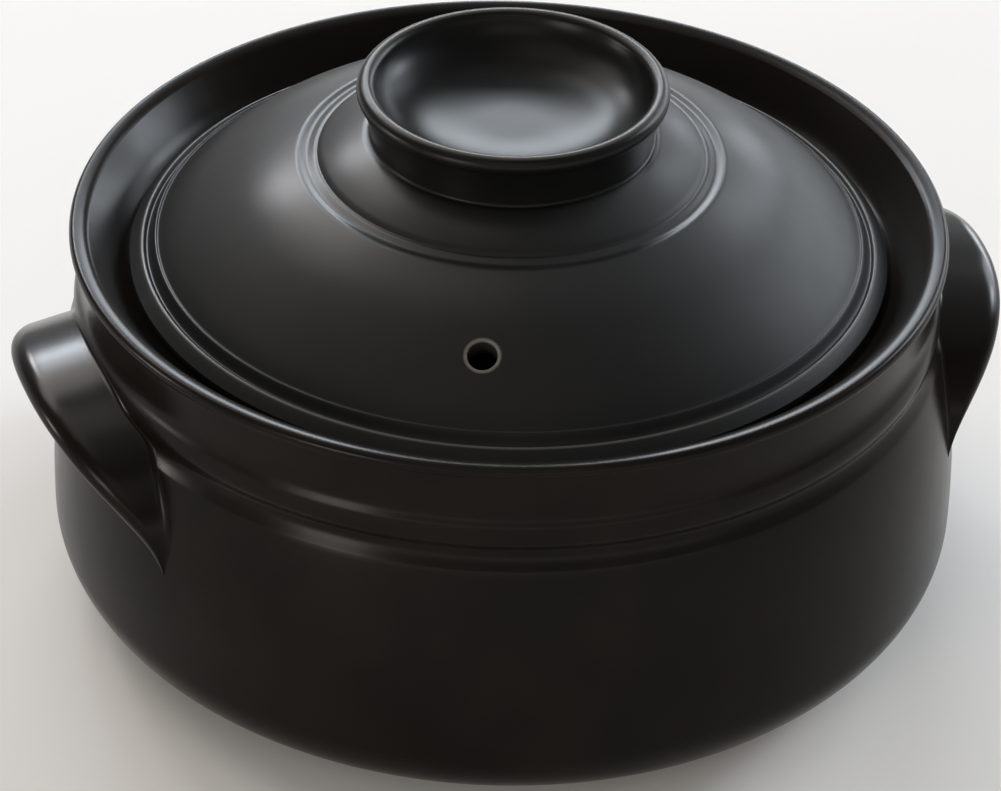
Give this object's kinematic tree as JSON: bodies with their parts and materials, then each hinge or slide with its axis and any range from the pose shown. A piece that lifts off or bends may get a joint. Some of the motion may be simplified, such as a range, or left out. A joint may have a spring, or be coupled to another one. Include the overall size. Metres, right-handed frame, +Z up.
{
  "type": "lidded clay pot",
  "caption": "Round dark-glazed clay cooking pot with hooded lug handles and a domed, vented lid that sits in a gallery inside the rim and lifts by a dish-shaped knob.",
  "frame": {"origin": "middle of the foot ring, on the plane that the pot stands on", "axes": "+Z up, X from handle to handle, -Y towards the side of the lid's vent"},
  "size_m": [0.2536, 0.234, 0.1418],
  "materials": {
    "body_glaze": "near-black satin glaze over fired clay",
    "lid_glaze": "near-black satin glaze over fired clay"
  },
  "bodies": {
    "pot": {"pot_body": "body_glaze", "left_handle": "body_glaze", "right_handle": "body_glaze"},
    "lid": {"lid_dome": "lid_glaze", "lid_knob": "lid_glaze"}
  },
  "joints": [
    {"name": "lid_lift", "type": "slide", "parent": "pot", "child": "lid", "axis": [0, 0, 1], "range_m": [0, 0.08]}
  ]
}
